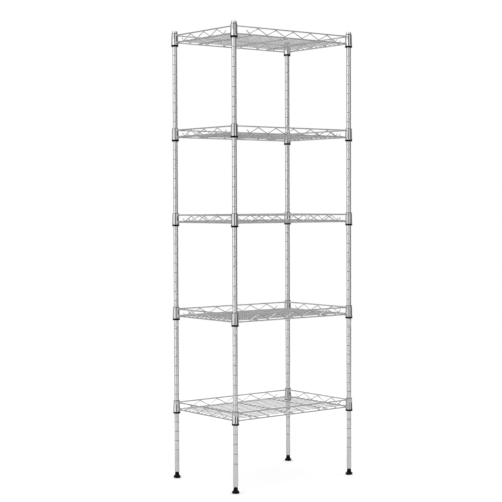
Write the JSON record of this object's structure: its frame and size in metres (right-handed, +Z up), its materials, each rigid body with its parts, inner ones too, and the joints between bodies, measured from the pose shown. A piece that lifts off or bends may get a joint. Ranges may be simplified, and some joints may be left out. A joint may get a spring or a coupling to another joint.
{
  "type": "wire shelving rack",
  "caption": "Tall free-standing wire shelving rack: grooved chrome posts on levelling feet carry rimmed wire shelves on tapered sleeves.",
  "frame": {"origin": "on the floor, midway between the four posts", "axes": "+X along the shelves, +Y from the front to the back, +Z up the posts"},
  "size_m": [0.4108, 0.2808, 1.2095],
  "materials": {
    "chrome_tube": "bright plated tube with rolled grooves",
    "chrome_wire": "bright plated welded wire",
    "zinc_steel": "dull zinc plate",
    "black_plastic": "moulded, satin"
  },
  "bodies": {
    "posts": {"post_lower_front_left": "chrome_tube", "post_lower_front_right": "chrome_tube", "post_lower_back_left": "chrome_tube", "post_lower_back_right": "chrome_tube", "post_middle_front_left": "chrome_tube", "post_middle_front_right": "chrome_tube", "post_middle_back_left": "chrome_tube", "post_middle_back_right": "chrome_tube", "post_upper_front_left": "chrome_tube", "post_upper_front_right": "chrome_tube", "post_upper_back_left": "chrome_tube", "post_upper_back_right": "chrome_tube", "joint_stud_low_front_left": "zinc_steel", "joint_stud_low_front_right": "zinc_steel", "joint_stud_low_back_left": "zinc_steel", "joint_stud_low_back_right": "zinc_steel", "joint_stud_high_front_left": "zinc_steel", "joint_stud_high_front_right": "zinc_steel", "joint_stud_high_back_left": "zinc_steel", "joint_stud_high_back_right": "zinc_steel", "post_cap_front_left": "chrome_tube", "post_cap_front_right": "chrome_tube", "post_cap_back_left": "chrome_tube", "post_cap_back_right": "chrome_tube", "sleeve_1_front_left": "black_plastic", "sleeve_1_front_right": "black_plastic", "sleeve_1_back_left": "black_plastic", "sleeve_1_back_right": "black_plastic", "sleeve_2_front_left": "black_plastic", "sleeve_2_front_right": "black_plastic", "sleeve_2_back_left": "black_plastic", "sleeve_2_back_right": "black_plastic", "sleeve_3_front_left": "black_plastic", "sleeve_3_front_right": "black_plastic", "sleeve_3_back_left": "black_plastic", "sleeve_3_back_right": "black_plastic", "sleeve_4_front_left": "black_plastic", "sleeve_4_front_right": "black_plastic", "sleeve_4_back_left": "black_plastic", "sleeve_4_back_right": "black_plastic", "sleeve_5_front_left": "black_plastic", "sleeve_5_front_right": "black_plastic", "sleeve_5_back_left": "black_plastic", "sleeve_5_back_right": "black_plastic"},
    "shelf_1": {"shelf_frame_1": "chrome_wire", "shelf_deck_1": "chrome_wire"},
    "shelf_2": {"shelf_frame_2": "chrome_wire", "shelf_deck_2": "chrome_wire"},
    "shelf_3": {"shelf_frame_3": "chrome_wire", "shelf_deck_3": "chrome_wire"},
    "shelf_4": {"shelf_frame_4": "chrome_wire", "shelf_deck_4": "chrome_wire"},
    "shelf_5": {"shelf_frame_5": "chrome_wire", "shelf_deck_5": "chrome_wire"},
    "foot_front_left": {"levelling_foot_front_left": "black_plastic"},
    "foot_front_right": {"levelling_foot_front_right": "black_plastic"},
    "foot_back_left": {"levelling_foot_back_left": "black_plastic"},
    "foot_back_right": {"levelling_foot_back_right": "black_plastic"}
  },
  "joints": [
    {"name": "shelf_1_lift", "type": "slide", "parent": "posts", "child": "shelf_1", "axis": [0, 0, 1], "range_m": [0, 0.218]},
    {"name": "shelf_2_lift", "type": "slide", "parent": "posts", "child": "shelf_2", "axis": [0, 0, 1], "range_m": [0, 0.218]},
    {"name": "shelf_3_lift", "type": "slide", "parent": "posts", "child": "shelf_3", "axis": [0, 0, 1], "range_m": [0, 0.193]},
    {"name": "shelf_4_lift", "type": "slide", "parent": "posts", "child": "shelf_4", "axis": [0, 0, 1], "range_m": [0, 0.218]},
    {"name": "shelf_5_lift", "type": "slide", "parent": "posts", "child": "shelf_5", "axis": [0, 0, 1], "range_m": [0, 0.06]},
    {"name": "foot_front_left_level", "type": "slide", "parent": "posts", "child": "foot_front_left", "axis": [0, 0, -1], "range_m": [0, 0.01]},
    {"name": "foot_front_right_level", "type": "slide", "parent": "posts", "child": "foot_front_right", "axis": [0, 0, -1], "range_m": [0, 0.01]},
    {"name": "foot_back_left_level", "type": "slide", "parent": "posts", "child": "foot_back_left", "axis": [0, 0, -1], "range_m": [0, 0.01]},
    {"name": "foot_back_right_level", "type": "slide", "parent": "posts", "child": "foot_back_right", "axis": [0, 0, -1], "range_m": [0, 0.01]}
  ]
}
